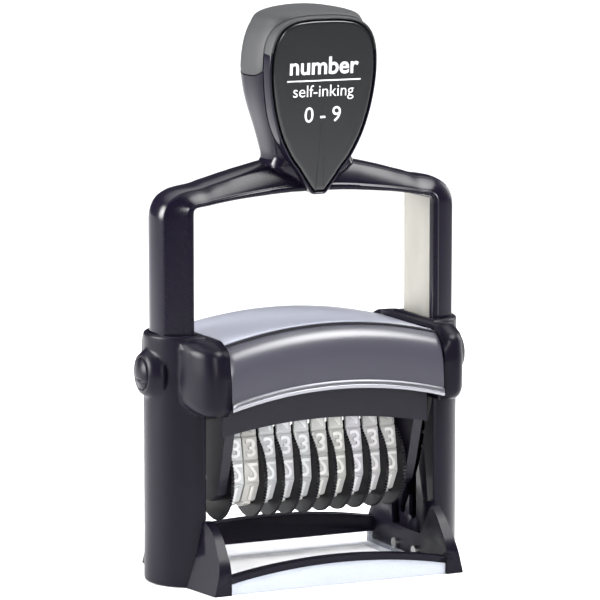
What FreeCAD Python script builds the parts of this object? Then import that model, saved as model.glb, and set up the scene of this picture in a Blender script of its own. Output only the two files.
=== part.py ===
import FreeCAD, Part
import math
import os
from FreeCAD import Placement, Rotation, Vector

# Self-inking numbering stamp with ten digit bands.
# The origin is the bottom centre: +X right, +Y rear, +Z up, millimetres.

doc = FreeCAD.newDocument("NumberingStamp")
sheet = doc.addObject("Spreadsheet::Sheet", "sizes")

DRIVING_SIZES = {
    # press travel and type unit
    "stroke": 32.5, "pivot_height": 45.1, "axle_height": 27.3, "print_face_height": 57.5,
    "pivot_pin_radius": 2.0, "cam_pin_radius": 1.5, "cam_offset": 6.0, "slot_play": 0.1,
    # side columns
    "column_inner": 33.3, "column_cavity_inner": 34.4, "column_reach": 11.5,
    "column_half_depth": 12.0, "column_rim_height": 66.6, "column_floor": 4.0,
    "cavity_reach": 9.1, "cavity_half_depth": 9.4, "cut_margin": 1.0,
    "boss_flare": 3.6, "boss_lip": 1.05, "boss_height": 3.6, "boss_set_back": 4.8,
    "well_floor": 44.0, "well_depth": 1.95, "mouth_depth": 6.0, "button_play": 0.12,
    # pad housing between the cheeks
    "cheek_inner": 31.0, "cheek_thickness": 3.4, "housing_half_width": 30.7, "arch_rise": 4.1,
    "shell_thickness": 1.6,
    "bridge_depth": 29.0, "bridge_underside": 62.4, "bridge_thickness": 0.8,
    "runner_bottom": 59.9, "runner_wall": 1.0, "runner_lip": 2.2, "runner_lip_thickness": 0.7,
    # bow
    "leg_inner": 34.7, "leg_reach": 8.5, "leg_half_depth": 8.8, "leg_bottom": 40.0,
    "steel_inner": 34.6, "steel_thickness": 1.0, "steel_front": -6.8, "steel_rear": 8.3,
    "spring_cavity_reach": 6.1, "spring_cavity_half_depth": 7.0, "spring_cavity_top": 92.0,
    # return springs and their posts
    "spring_line": 38.65, "spring_outer_radius": 2.7, "spring_inner_radius": 2.0,
    "spring_seat": 13.0, "post_radius": 1.6, "collar_radius": 2.8, "post_top": 56.0,
    # digit bands and setting wheels
    "band_radius": 9.15, "print_cell": 6.4, "band_width": 4.2, "band_thickness": 1.5,
    "band_pitch": 5.1, "wheel_radius": 12.0,
    "wheel_hub_radius": 6.9, "wheel_disc": 0.8, "axial_play": 0.05, "axle_radius": 2.0,
    "bore_radius": 2.05, "tooth_depth": 0.4,
    # screw that holds the knob on the bow
    "knob_screw_radius": 2.0, "knob_screw_head": 3.5, "knob_screw_length": 20.5,
    "knob_screw_sink": 2.4, "knob_screw_seat": 102.6, "knob_screw_head_height": 0.8,
    # release buttons
    "button_height": 55.9, "button_radius": 4.25, "button_flange_radius": 4.8, "button_apex": 47.5,
    "button_back": 45.5, "button_flange": 0.4, "dome_rise": 1.1,
    # pad cartridge
    "pad_face": 57.8, "pad_half_width": 27.6, "pad_half_depth": 8.0, "pad_depth": 3.0,
    "tray_half_width": 29.8, "tray_thickness": 1.2, "tray_front": 10.5, "tray_rear": 20.6,
    "tray_rim": 0.8, "pad_proud": 0.5,
    # base
    "toe_inner": 31.4, "toe_width": 9.2, "rail_front": 23.8, "rail_rise": 3.1, "front_rail_top": 4.6,
    "front_rail_depth": 3.2, "rear_rail_top": 7.6, "rear_rail_rise": 2.7, "rear_rail_depth": 3.6,
    "window_front": 23.4, "window_half_width": 31.3, "window_thickness": 1.4,
    "opening_half_width": 28.2, "opening_half_depth": 19.8, "front_bar_height": 2.9,
    "front_bar_depth": 2.4, "rear_bar_height": 3.5, "rear_bar_depth": 3.0,
}

# rows of (front and rear) pegs under the top and screws into the columns
PEG_Y, PEG_HEIGHT, PEG_RADIUS = 12.0, 63.0, 1.2
SCREW_Y, SCREW_HEIGHT, SCREW_RADIUS = 6.0, 2.9, 1.0
SCREW_HEAD_RADIUS, SCREW_HEAD_HEIGHT, SCREW_LENGTH = 1.4, 0.9, 6.5
PEG_ROOT, PEG_DROP, PEG_PLAY, PEG_LENGTH = 0.5, 0.2, 0.3, 2.8
FRONT_AND_REAR = (-1, 1)
FOUR_CORNERS = [(side, row) for side in (-1, 1) for row in FRONT_AND_REAR]

BAND_COUNT = 10
BAND_CELLS = 15
WHEEL_TEETH = 80
FIRST_BAND_X = -22.9
SECOND_BAND_X = -18.4

for row, (alias, value) in enumerate(DRIVING_SIZES.items(), start=1):
    sheet.set("A%d" % row, alias)
    sheet.set("B%d" % row, str(value))
    sheet.setAlias("B%d" % row, alias)
doc.recompute()


def size(alias):
    """Driving dimension as a plain number."""
    return float(getattr(sheet, alias))


SUB_PARTS = []


def sub_part(item, label):
    """Name an object as one separate piece of the stamp."""
    item.Label = label
    SUB_PARTS.append(item)
    return item


# ---------------------------------------------------------------- drawing helpers

def bind(item, **expressions):
    """Bind properties to expressions; a double underscore stands for a dot."""
    for prop, expression in expressions.items():
        item.setExpression(prop.replace("__", "."), expression)
    return item


def outline(points):
    """Closed chain of straight sketch segments."""
    corners = [Vector(u, v, 0) for u, v in points]
    return [Part.LineSegment(corners[i], corners[(i + 1) % len(corners)]) for i in range(len(corners))]


def rectangle(half_width, near, far):
    """Rectangle centred across the stamp, from one depth to another."""
    return outline([(-half_width, near), (half_width, near), (half_width, far), (-half_width, far)])


def rounded_outline(corners):
    """Closed outline whose corners (u, v, radius) are rounded by tangent arcs."""
    spans, arcs = [], []
    count = len(corners)
    for i, (u, v, radius) in enumerate(corners):
        here = Vector(u, v, 0)
        to_last = (Vector(*corners[i - 1][:2], 0) - here).normalize()
        to_next = (Vector(*corners[(i + 1) % count][:2], 0) - here).normalize()
        half_angle = to_last.getAngle(to_next) / 2
        setback = radius / math.tan(half_angle)
        spans.append((here + to_last * setback, here + to_next * setback))
        if radius:
            bisector = (to_last + to_next).normalize()
            centre = here + bisector * (radius / math.sin(half_angle))
            arcs.append(Part.Arc(spans[i][0], centre - bisector * radius, spans[i][1]))
    lines = [Part.LineSegment(spans[i][1], spans[(i + 1) % count][0]) for i in range(count)]
    return lines + arcs


def both_sides(half):
    """Corners of a symmetric outline, from its front half."""
    return half + [(-u, v, radius) for u, v, radius in reversed(half)]


def circle(u, v, radius):
    return [Part.Circle(Vector(u, v, 0), Vector(0, 0, 1), radius)]


def half_ellipse(flat_u, reach, half_depth):
    """D-section: a flat side at u = flat_u and a half ellipse reaching outwards."""
    centre = Vector(flat_u, 0, 0)
    low, high = Vector(flat_u, -half_depth, 0), Vector(flat_u, half_depth, 0)
    ellipse = Part.Ellipse(Vector(flat_u, half_depth, 0), Vector(flat_u + reach, 0, 0), centre)
    arc = Part.ArcOfEllipse(ellipse, 0, math.pi)
    if half_depth < reach:
        ellipse = Part.Ellipse(Vector(flat_u + reach, 0, 0), Vector(flat_u, half_depth, 0), centre)
        arc = Part.ArcOfEllipse(ellipse, -math.pi / 2, math.pi / 2)
    return [Part.LineSegment(low, high), arc]


def arched_strip(half_width, bottom, bottom_rise, top, top_rise):
    """Strip between two shallow arcs, or a straight bottom when its rise is zero."""
    left, right = -half_width, half_width
    upper = Part.Arc(Vector(left, top, 0), Vector(0, top + top_rise, 0), Vector(right, top, 0))
    if bottom_rise:
        lower = Part.Arc(Vector(left, bottom, 0), Vector(0, bottom + bottom_rise, 0),
                         Vector(right, bottom, 0))
    else:
        lower = Part.LineSegment(Vector(left, bottom, 0), Vector(right, bottom, 0))
    sides = [Part.LineSegment(Vector(u, bottom, 0), Vector(u, top, 0)) for u in (left, right)]
    return [upper, lower] + sides


def new_body(name):
    return doc.addObject("PartDesign::Body", name)


def origin_plane(body, role):
    return next(item for item in body.Origin.OriginFeatures if item.Role == role)


def new_sketch(body, name, role, geometry, offset=None):
    """Sketch on one of the body's own origin planes, lifted off it by the offset expression."""
    sketch = body.newObject("Sketcher::SketchObject", body.Name + "_" + name)
    sketch.AttachmentSupport = [(origin_plane(body, role), "")]
    sketch.MapMode = "FlatFace"
    sketch.addGeometry(geometry, False)
    if offset is not None:
        sketch.setExpression("AttachmentOffset.Base.z", offset)
    return sketch


def pad(body, name, role, geometry, length, offset=None, backwards=False, symmetric=False):
    feature = body.newObject("PartDesign::Pad", body.Name + "_" + name)
    feature.Profile = new_sketch(body, name + "_sketch", role, geometry, offset)
    feature.setExpression("Length", length)
    feature.Reversed = backwards
    if symmetric:
        feature.SideType = "Symmetric"
    doc.recompute()
    return feature


def pocket(body, name, role, geometry, length, offset=None, backwards=False, taper=0.0):
    """Pocket whose direction is proved by the volume that it takes away."""
    before = body.Shape.Volume
    feature = body.newObject("PartDesign::Pocket", body.Name + "_" + name)
    feature.Profile = new_sketch(body, name + "_sketch", role, geometry, offset)
    feature.setExpression("Length", length)
    feature.Reversed = backwards
    feature.TaperAngle = taper
    doc.recompute()
    if body.Shape.Volume > before - 1e-3:
        raise RuntimeError(feature.Name + " removes nothing")
    return feature


def round_over(body, name, base, wanted, radius):
    """Fillet the edges of a feature that the test picks out."""
    edges = ["Edge%d" % (i + 1) for i, edge in enumerate(base.Shape.Edges) if wanted(edge)]
    feature = body.newObject("PartDesign::Fillet", body.Name + "_" + name)
    feature.Base = (base, edges)
    feature.Radius = radius
    doc.recompute()
    return feature


def curved_end(edge):
    """True for a curved edge that lies in a level plane."""
    return edge.BoundBox.ZLength < 1e-3 and not isinstance(edge.Curve, Part.Line)


def mirrored(body, name, role, originals):
    feature = body.newObject("PartDesign::Mirrored", body.Name + "_" + name)
    feature.Originals = originals
    feature.MirrorPlane = (origin_plane(body, role), [""])
    body.Tip = feature
    doc.recompute()
    return feature


def cylinder(name, start, direction, radius, height):
    """Cylinder from a start point along an axis; radius and height are expressions."""
    item = doc.addObject("Part::Cylinder", name)
    item.Placement = Placement(Vector(*start), Rotation(Vector(0, 0, 1), Vector(*direction)))
    return bind(item, Radius=radius, Height=height)


def box(name, corner, extent):
    """Box whose corner and extent are given as expressions."""
    item = doc.addObject("Part::Box", name)
    bind(item, Length=extent[0], Width=extent[1], Height=extent[2])
    return bind(item, Placement__Base__x=corner[0], Placement__Base__y=corner[1],
                Placement__Base__z=corner[2])


def cut(name, base, tools):
    tool = tools[0] if len(tools) == 1 else fuse(name + "_tools", tools)
    item = doc.addObject("Part::Cut", name)
    item.Base, item.Tool = base, tool
    return item


def fuse(name, pieces):
    item = doc.addObject("Part::MultiFuse", name)
    item.Shapes = pieces
    return item


def mirror_image(name, source, normal):
    item = doc.addObject("Part::Mirroring", name)
    item.Source = source
    item.Normal = Vector(*normal)
    return item


def formed(name, shape):
    """Piece whose shape is worked out from the sheet's sizes by Part's functions."""
    item = doc.addObject("Part::Feature", name)
    item.Shape = shape
    return item


# ---------------------------------------------------------------- side columns with their cheeks

CHEEK_PROFILE = both_sides([(-16.6, 66.0, 4.0), (-22.2, 63.8, 3.4), (-23.2, 57.5, 9.0),
                            (-23.0, 46.4, 3.4)])
FAIRING_TIP = both_sides([(-7.0, 64.0, 1.0), (-9.0, 62.6, 1.0), (-9.4, 58.0, 2.0), (-9.0, 51.5, 1.4)])
FAIRING_REACH, FAIRING_STEPS = 5.6, 8
COLUMN_ROUNDING = 0.9
GROOVE_STEPS = 12


def column_outline():
    return half_ellipse(size("column_inner"), size("column_reach"), size("column_half_depth"))


def cheek_fairing():
    """Side fairing that closes in a rounded sweep from the cheek's rim onto the column."""
    start = size("cheek_inner") + size("cheek_thickness")
    wires = []
    for step in range(FAIRING_STEPS + 1):
        turn = math.pi / 2 * step / FAIRING_STEPS
        x, share = start + FAIRING_REACH * math.sin(turn), math.cos(turn)
        profile = [tuple(b + (a - b) * share for a, b in zip(wide, narrow))
                   for wide, narrow in zip(CHEEK_PROFILE, FAIRING_TIP)]
        edges = [item.toShape() for item in rounded_outline(profile)]
        wire = Part.Wire(Part.__sortEdges__(edges))
        wire.Placement = Placement(Vector(x, 0, 0), Rotation(Vector(0, 1, 0), Vector(0, 0, 1),
                                                             Vector(1, 0, 0), "XYZ"))
        wires.append(wire)
    return Part.makeLoft(wires, True, True)


def cam_groove():
    """Groove of the cam pin: the pin circles the pivot once round half a turn as the pivot sinks."""
    stroke, offset = size("stroke"), size("cam_offset")
    half_width = size("cam_pin_radius") + size("slot_play")
    centres, normals = [], []
    for step in range(GROOVE_STEPS + 1):
        turn = math.pi * step / GROOVE_STEPS
        y = -offset * math.cos(turn)
        z = size("pivot_height") - stroke * step / GROOVE_STEPS - offset * math.sin(turn)
        slope_y = offset * math.sin(turn)
        slope_z = -stroke / math.pi - offset * math.cos(turn)
        length = math.hypot(slope_y, slope_z)
        centres.append((y, z))
        normals.append((-slope_z / length, slope_y / length))
    x = size("cheek_inner") - size("cut_margin")

    def side(sign):
        curve = Part.BSplineCurve()
        curve.interpolate([Vector(x, y + sign * half_width * ny, z + sign * half_width * nz)
                           for (y, z), (ny, nz) in zip(centres, normals)])
        return curve

    first, second = side(1), side(-1)
    ends = [Part.LineSegment(first.StartPoint, second.StartPoint),
            Part.LineSegment(first.EndPoint, second.EndPoint)]
    edges = Part.__sortEdges__([item.toShape() for item in [first, second] + ends])
    depth = Vector(size("column_cavity_inner") - x + size("slot_play"), 0, 0)
    groove = Part.Face(Part.Wire(edges)).extrude(depth)
    for y, z in (centres[0], centres[-1]):
        groove = groove.fuse(Part.makeCylinder(half_width, depth.x, Vector(x, y, z), Vector(1, 0, 0)))
    return groove


def make_housings():
    body = new_body("column_shell")
    column = pad(body, "column", "XY_Plane", column_outline(), "sizes.column_rim_height")
    round_over(body, "column_ends", column, curved_end, COLUMN_ROUNDING)
    pad(body, "cheek", "YZ_Plane", rounded_outline(CHEEK_PROFILE), "sizes.cheek_thickness",
        offset="sizes.cheek_inner")
    boss = doc.addObject("Part::Cone", "button_boss")
    bind(boss, Radius1="sizes.button_radius + sizes.boss_flare",
         Radius2="sizes.button_radius + sizes.boss_lip", Height="sizes.boss_height")
    boss.Placement = Placement(Vector(size("button_apex") - size("boss_set_back"), 0,
                                      size("button_height")),
                               Rotation(Vector(0, 0, 1), Vector(1, 0, 0)))
    fairing = formed("cheek_fairing", cheek_fairing())
    whole = fuse("column_whole", [body, fairing, boss])

    cavity = new_body("leg_cavity")
    pad(cavity, "bore", "XY_Plane",
        half_ellipse(size("column_cavity_inner"), size("cavity_reach"), size("cavity_half_depth")),
        "sizes.column_rim_height", offset="sizes.column_floor")
    outwards = (1, 0, 0)
    slot_start = size("cheek_inner") - size("cut_margin")
    slot_radius = "sizes.pivot_pin_radius + sizes.slot_play"
    slot_length = "sizes.column_cavity_inner - sizes.cheek_inner + sizes.cut_margin + sizes.slot_play"
    slot = box("pin_slot", ("sizes.cheek_inner - sizes.cut_margin",
                            "-sizes.pivot_pin_radius - sizes.slot_play",
                            "sizes.pivot_height - sizes.stroke"),
               (slot_length, "2 * (%s)" % slot_radius, "sizes.stroke"))
    slot_ends = [cylinder("slot_end_%d" % i, (slot_start, 0, z), outwards, slot_radius, slot_length)
                 for i, z in enumerate((size("pivot_height"), size("pivot_height") - size("stroke")))]
    groove = formed("cam_groove", cam_groove())
    button_start = (size("well_floor"), 0, size("button_height"))
    well = cylinder("button_well", button_start, outwards,
                    "sizes.button_flange_radius + sizes.button_play", "sizes.well_depth")
    mouth = cylinder("button_mouth", button_start, outwards,
                     "sizes.button_radius + sizes.button_play", "sizes.mouth_depth")
    pegs = [cylinder("peg_hole_%d" % i, (slot_start, side * PEG_Y, PEG_HEIGHT), outwards,
                     "%g" % PEG_RADIUS, "sizes.cheek_thickness")
            for i, side in enumerate(FRONT_AND_REAR)]
    screws = [cylinder("screw_hole_%d" % i,
                       (size("column_inner") - size("cut_margin"), side * SCREW_Y, SCREW_HEIGHT),
                       outwards, "%g" % SCREW_RADIUS, "%g" % SCREW_LENGTH)
              for i, side in enumerate(FRONT_AND_REAR)]
    right = cut("right_housing", whole, [cavity, slot] + slot_ends + [groove, well, mouth] + pegs + screws)
    sub_part(right, "housing_right")
    sub_part(mirror_image("left_housing", right, (1, 0, 0)), "housing_left")


# ---------------------------------------------------------------- pad housing

TOP_PROFILE = [(-16.0, 64.8), (16.0, 64.8), (17.9, 64.2), (17.4, 62.7), (15.4, 63.2), (-15.4, 63.2)]
WINDOW_OUTSIDE = [(-16.0, 64.8), (-18.6, 64.1), (-20.4, 62.8), (-21.7, 61.0), (-22.6, 58.4),
                  (-23.0, 55.4), (-23.3, 50.2)]
BEAD_PROFILE = [(-23.4, 50.2), (-23.9, 49.1), (-23.4, 48.0), (-21.6, 48.0), (-21.6, 50.2)]


def inward(points, thickness):
    """Inner line of a wall: every point moves square to its run, towards the middle of the box."""
    moved = []
    for i, (y, z) in enumerate(points):
        before, after = points[max(i - 1, 0)], points[min(i + 1, len(points) - 1)]
        run_y, run_z = after[0] - before[0], after[1] - before[1]
        length = math.hypot(run_y, run_z)
        moved.append((y - run_z / length * thickness, z + run_y / length * thickness))
    return moved


def arched_sweep(body, name, profile):
    """Sweep a side profile along the shallow arch of the housing, keeping it upright."""
    half_width, rise = size("housing_half_width"), size("arch_rise")
    section = new_sketch(body, name + "_profile", "YZ_Plane", outline(profile),
                         "-sizes.housing_half_width")
    start = profile[0][1]
    arc = [Part.Arc(Vector(-half_width, start, 0), Vector(0, start + rise, 0),
                    Vector(half_width, start, 0))]
    spine = new_sketch(body, name + "_spine", "XZ_Plane", arc)
    doc.recompute()
    pipe = body.newObject("PartDesign::AdditivePipe", body.Name + "_" + name)
    pipe.Profile = section
    pipe.Spine = (spine, ["Edge1"])
    pipe.Mode = "Fixed"
    doc.recompute()
    return pipe


def window_profile(side):
    inner = inward(WINDOW_OUTSIDE, size("shell_thickness"))
    inner[0] = (-15.4, 63.2)
    inner[-1] = (WINDOW_OUTSIDE[-1][0] + size("shell_thickness"), WINDOW_OUTSIDE[-1][1])
    return [(side * y, z) for y, z in WINDOW_OUTSIDE + inner[::-1]]


def make_pad_housing():
    top = new_body("top_shell")
    arched_sweep(top, "plate", TOP_PROFILE)
    sub_part(top, "top_cover")
    window = new_body("window_shell")
    arched_sweep(window, "wall", window_profile(1))
    sub_part(window, "front_window")
    bead = new_body("bead_strip")
    arched_sweep(bead, "strip", BEAD_PROFILE)
    sub_part(bead, "front_bead")

    front = "-sizes.bridge_depth / 2"
    plate = box("bridge_plate", ("-sizes.cheek_inner", front, "sizes.bridge_underside"),
                ("2 * sizes.cheek_inner", "sizes.bridge_depth", "sizes.bridge_thickness"))
    runners = []
    for side, name in ((-1, "left"), (1, "right")):
        for part, width, height in (
                ("wall", "sizes.runner_wall", "sizes.bridge_underside - sizes.runner_bottom"),
                ("lip", "sizes.runner_lip", "sizes.runner_lip_thickness")):
            start = "sizes.cheek_inner - " + width if side > 0 else "-sizes.cheek_inner"
            runners.append(box("runner_%s_%s" % (part, name), (start, front, "sizes.runner_bottom"),
                               (width, "sizes.bridge_depth", height)))
    pegs = [cylinder("bridge_peg_%d" % i,
                     (side * (size("cheek_inner") - PEG_ROOT), row * PEG_Y, PEG_HEIGHT - PEG_DROP),
                     (side, 0, 0), "%g" % (PEG_RADIUS - PEG_PLAY), "%g" % PEG_LENGTH)
            for i, (side, row) in enumerate(FOUR_CORNERS)]
    bridge = fuse("bridge", [plate] + runners + pegs)
    sub_part(bridge, "bridge_frame")


# ---------------------------------------------------------------- ink cartridge

GRIP_FRONT, GRIP_BOTTOM, GRIP_BOTTOM_Y = 18.2, 48.0, (23.2, 21.7)
GRIP_WEB_INSET, GRIP_WEB_FRONT, GRIP_WEB_DEPTH = 2.0, 19.0, 3.0


def make_cartridge():
    tray = new_body("tray")
    half_width, half_depth = size("pad_half_width"), size("pad_half_depth")
    pad(tray, "floor", "XY_Plane",
        rectangle(size("tray_half_width"), -size("tray_front"), size("tray_rear")),
        "sizes.tray_thickness", offset="sizes.pad_face + sizes.pad_depth")
    rim = half_depth + size("tray_rim")
    pad(tray, "rim", "XY_Plane",
        rectangle(half_width + size("tray_rim"), -rim, rim)
        + rectangle(half_width, -half_depth, half_depth),
        "sizes.pad_depth - sizes.pad_proud", offset="sizes.pad_face + sizes.pad_proud")
    grip = new_body("tray_grip")
    wall = window_profile(-1)
    last = len(WINDOW_OUTSIDE)
    wall[last - 1:last + 1] = [(y, GRIP_BOTTOM) for y in GRIP_BOTTOM_Y]
    arched_sweep(grip, "wall", wall)
    web = box("grip_web", ("-sizes.tray_half_width + %g" % GRIP_WEB_INSET, "%g" % GRIP_WEB_FRONT,
                           "sizes.pad_face + sizes.pad_depth"),
              ("2 * (sizes.tray_half_width - %g)" % GRIP_WEB_INSET, "%g" % GRIP_WEB_DEPTH,
               "sizes.tray_thickness"))
    ahead = box("grip_clear", ("-sizes.leg_bottom", "0", "sizes.leg_bottom"),
                ("2 * sizes.leg_bottom", "%g" % GRIP_FRONT, "sizes.leg_bottom"))
    sub_part(fuse("cartridge", [tray, cut("grip_part", grip, [ahead]), web]), "pad_tray")

    felt = new_body("felt")
    pad(felt, "block", "XY_Plane", rectangle(half_width, -half_depth, half_depth),
        "sizes.pad_depth", offset="sizes.pad_face")
    sub_part(felt, "ink_pad")


# ---------------------------------------------------------------- base

TOE_PROFILE = [(0.0, 0.0, 0), (-24.2, 0.0, 0), (-24.1, 7.2, 9.0), (-17.5, 15.6, 14.0),
               (-12.6, 17.6, 2.0), (-9.2, 17.2, 0.8), (-8.4, 8.0, 0), (0.0, 8.0, 0)]
TOE_SLANT, TOE_TAPER = [(36.0, -26.0), (42.0, -26.0), (42.0, -8.0), (38.8, -8.0)], 13.0


def column_envelope(name):
    """Solid outer form of both columns, which the base fits around."""
    body = new_body(name)
    feature = pad(body, "column", "XY_Plane", column_outline(), "sizes.leg_bottom")
    mirrored(body, "pair", "YZ_Plane", [feature])
    return body


def make_base():
    body = new_body("foot_frame")
    toe = pad(body, "toe", "YZ_Plane", rounded_outline(TOE_PROFILE), "sizes.toe_width",
              offset="sizes.toe_inner")
    mirrored(body, "front_rear", "XZ_Plane", [toe])
    for row, name in ((1, "front"), (-1, "rear")):
        slant = outline([(x, row * y) for x, y in TOE_SLANT])
        pocket(body, "slant_" + name, "XY_Plane", slant, "sizes.leg_bottom / 2", backwards=True,
               taper=TOE_TAPER)
    left_side = mirror_image("foot_left", body, (1, 0, 0))

    rails = new_body("foot_rails")
    rise, half = size("rail_rise"), size("toe_inner")
    bar_top, rail_top = size("front_bar_height"), size("front_rail_top")
    pad(rails, "front_rail", "XZ_Plane", arched_strip(half, bar_top, rise, rail_top, rise),
        "sizes.front_rail_depth", offset="sizes.rail_front", backwards=True)
    pad(rails, "rear_rail", "XZ_Plane",
        arched_strip(half, size("rear_bar_height"), 0, size("rear_rail_top"), size("rear_rail_rise")),
        "sizes.rear_rail_depth", offset="-sizes.rail_front")
    pieces = fuse("foot_whole", [body, left_side, rails])
    holes = [cylinder("foot_screw_%d" % i, (side * (half - size("cut_margin")), row * SCREW_Y,
                                            SCREW_HEIGHT),
                      (side, 0, 0), "%g" % SCREW_RADIUS, "%g" % SCREW_LENGTH)
             for i, (side, row) in enumerate(FOUR_CORNERS)]
    sub_part(cut("foot", pieces, [column_envelope("column_room")] + holes), "base_frame")

    window = new_body("clear_base")
    half, front = size("window_half_width"), size("window_front")
    opening = size("opening_half_depth")
    pad(window, "ring", "XY_Plane",
        rectangle(half, -front, front) + rectangle(size("opening_half_width"), -opening, opening),
        "sizes.window_thickness")
    pad(window, "front_bar", "XZ_Plane", arched_strip(half, 0, 0, bar_top, rise),
        "sizes.front_bar_depth", offset="sizes.window_front", backwards=True)
    pad(window, "rear_bar", "XZ_Plane", rectangle(half, 0, size("rear_bar_height")),
        "sizes.rear_bar_depth", offset="-sizes.window_front")
    sub_part(window, "base_window")

    screws = []
    for i, (side, row) in enumerate(FOUR_CORNERS):
        start = (side * (size("toe_inner") - SCREW_HEAD_HEIGHT), row * SCREW_Y, SCREW_HEIGHT)
        head = cylinder("screw_head_%d" % i, start, (side, 0, 0), "%g" % SCREW_HEAD_RADIUS,
                        "%g" % SCREW_HEAD_HEIGHT)
        shank = cylinder("screw_shank_%d" % i, start, (side, 0, 0), "%g" % SCREW_RADIUS,
                         "%g" % SCREW_LENGTH)
        screws.append(fuse("screw_%d" % i, [head, shank]))
    group = doc.addObject("Part::Compound", "screw_group")
    group.Links = screws
    sub_part(group, "housing_screws")


# ---------------------------------------------------------------- posts, springs and buttons

def make_springs():
    for side, name in ((-1, "left"), (1, "right")):
        x = side * size("spring_line")
        collar = cylinder("collar_" + name, (x, 0, size("column_floor")), (0, 0, 1),
                          "sizes.collar_radius", "sizes.spring_seat - sizes.column_floor")
        rod = cylinder("rod_" + name, (x, 0, size("column_floor")), (0, 0, 1),
                       "sizes.post_radius", "sizes.post_top - sizes.column_floor")
        sub_part(fuse("post_" + name, [collar, rod]), "spring_post_" + name)
        outer = cylinder("spring_outer_" + name, (x, 0, size("spring_seat")), (0, 0, 1),
                         "sizes.spring_outer_radius", "sizes.spring_cavity_top - sizes.spring_seat")
        inner = cylinder("spring_inner_" + name, (x, 0, size("spring_seat")), (0, 0, 1),
                         "sizes.spring_inner_radius", "sizes.spring_cavity_top - sizes.spring_seat")
        sub_part(cut("coil_" + name, outer, [inner]), "spring_" + name)


def make_buttons():
    """Domed release button with a flange that the boss keeps in."""
    for side, name in ((-1, "left"), (1, "right")):
        body = new_body("button_body_" + name)
        radius, flange, apex = size("button_radius"), size("button_flange_radius"), size("button_apex")
        rim = apex - size("dome_rise")
        rise = apex - rim
        sphere = (rise ** 2 + radius ** 2) / (2 * rise)
        middle = math.asin(radius / sphere) / 2
        dome = Part.Arc(Vector(rim, radius, 0),
                        Vector(apex - sphere * (1 - math.cos(middle)), sphere * math.sin(middle), 0),
                        Vector(apex, 0, 0))
        back, step = size("button_back"), size("button_back") + size("button_flange")
        chain = [(apex, 0), (back, 0), (back, flange), (step, flange), (step, radius), (rim, radius)]
        lines = [Part.LineSegment(Vector(*a, 0), Vector(*b, 0)) for a, b in zip(chain, chain[1:])]
        profile = new_sketch(body, "profile", "XZ_Plane", lines + [dome])
        turned = body.newObject("PartDesign::Revolution", body.Name + "_turn")
        turned.Profile = profile
        turned.ReferenceAxis = (profile, ["H_Axis"])
        turned.Angle = 360
        spin = Rotation(Vector(0, 0, 1), 180) if side < 0 else Rotation()
        body.Placement = Placement(Vector(0, 0, size("button_height")), spin)
        sub_part(body, "button_" + name)


# ---------------------------------------------------------------- type unit

def band_vertices():
    """Corners of the digit band: tangent run from the print face to the hub, then round the hub."""
    radius, top_half = size("band_radius"), size("print_cell") / 2
    drop = size("print_face_height") - size("axle_height")
    reach = math.hypot(top_half, drop)
    tangent = math.sqrt(reach ** 2 - radius ** 2)
    turned = math.atan2(top_half, drop) + math.acos(radius / reach)
    half_length = tangent + radius * (math.pi - turned)
    pitch = half_length / ((BAND_CELLS - 1) / 2)
    start = Vector(-top_half, drop, 0)
    touch = Vector(-radius * math.sin(turned), radius * math.cos(turned), 0)
    front = []
    for step in range((BAND_CELLS - 1) // 2):
        along = step * pitch
        if along <= tangent:
            point = start + (touch - start) * (along / tangent)
        else:
            angle = turned + (along - tangent) / radius
            point = Vector(-radius * math.sin(angle), radius * math.cos(angle), 0)
        front.append((point.x, point.y))
    bottom = [(0.0, -radius)]
    return front + bottom + [(-y, z) for y, z in reversed(front)]


def make_bands():
    corners = [Vector(y, z, 0) for y, z in band_vertices()]
    loop = Part.makePolygon(corners + corners[:1])
    inner_loop = loop.makeOffset2D(-size("band_thickness"), 2)
    inner = [(v.Point.x, v.Point.y) for v in inner_loop.OrderedVertexes]
    for index in range(BAND_COUNT):
        body = new_body("band_body_%02d" % (index + 1))
        pad(body, "loop", "YZ_Plane", outline(band_vertices()) + outline(inner), "sizes.band_width",
            symmetric=True)
        body.Placement = Placement(Vector(band_centre(index), 0, size("axle_height")), Rotation())
        sub_part(body, "band_%02d" % (index + 1))


def band_centre(index):
    if index == 0:
        return FIRST_BAND_X
    return SECOND_BAND_X + (index - 1) * size("band_pitch")


def make_wheels():
    """Setting wheel: a knurled disc beside the band and a hub under it, bored for the axle."""
    radius, depth = size("wheel_radius"), size("tooth_depth")
    knurl = []
    for step in range(2 * WHEEL_TEETH):
        r = radius - depth * (step % 2)
        angle = math.pi * step / WHEEL_TEETH
        knurl.append((r * math.cos(angle), r * math.sin(angle)))
    for index in range(BAND_COUNT):
        side = -1 if index == 0 else 1
        body = new_body("wheel_body_%02d" % (index + 1))
        bore = circle(0, 0, size("bore_radius"))
        pad(body, "hub", "YZ_Plane", circle(0, 0, size("wheel_hub_radius")) + bore,
            "sizes.band_width + 2 * sizes.axial_play",
            offset="-sizes.band_width / 2 - sizes.axial_play")
        disc_start = "sizes.band_width / 2 + sizes.axial_play"
        if side < 0:
            disc_start = "-sizes.band_width / 2 - sizes.axial_play - sizes.wheel_disc"
        pad(body, "disc", "YZ_Plane", outline(knurl) + bore, "sizes.wheel_disc", offset=disc_start)
        body.Placement = Placement(Vector(band_centre(index), 0, size("axle_height")), Rotation())
        sub_part(body, "wheel_%02d" % (index + 1))


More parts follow.
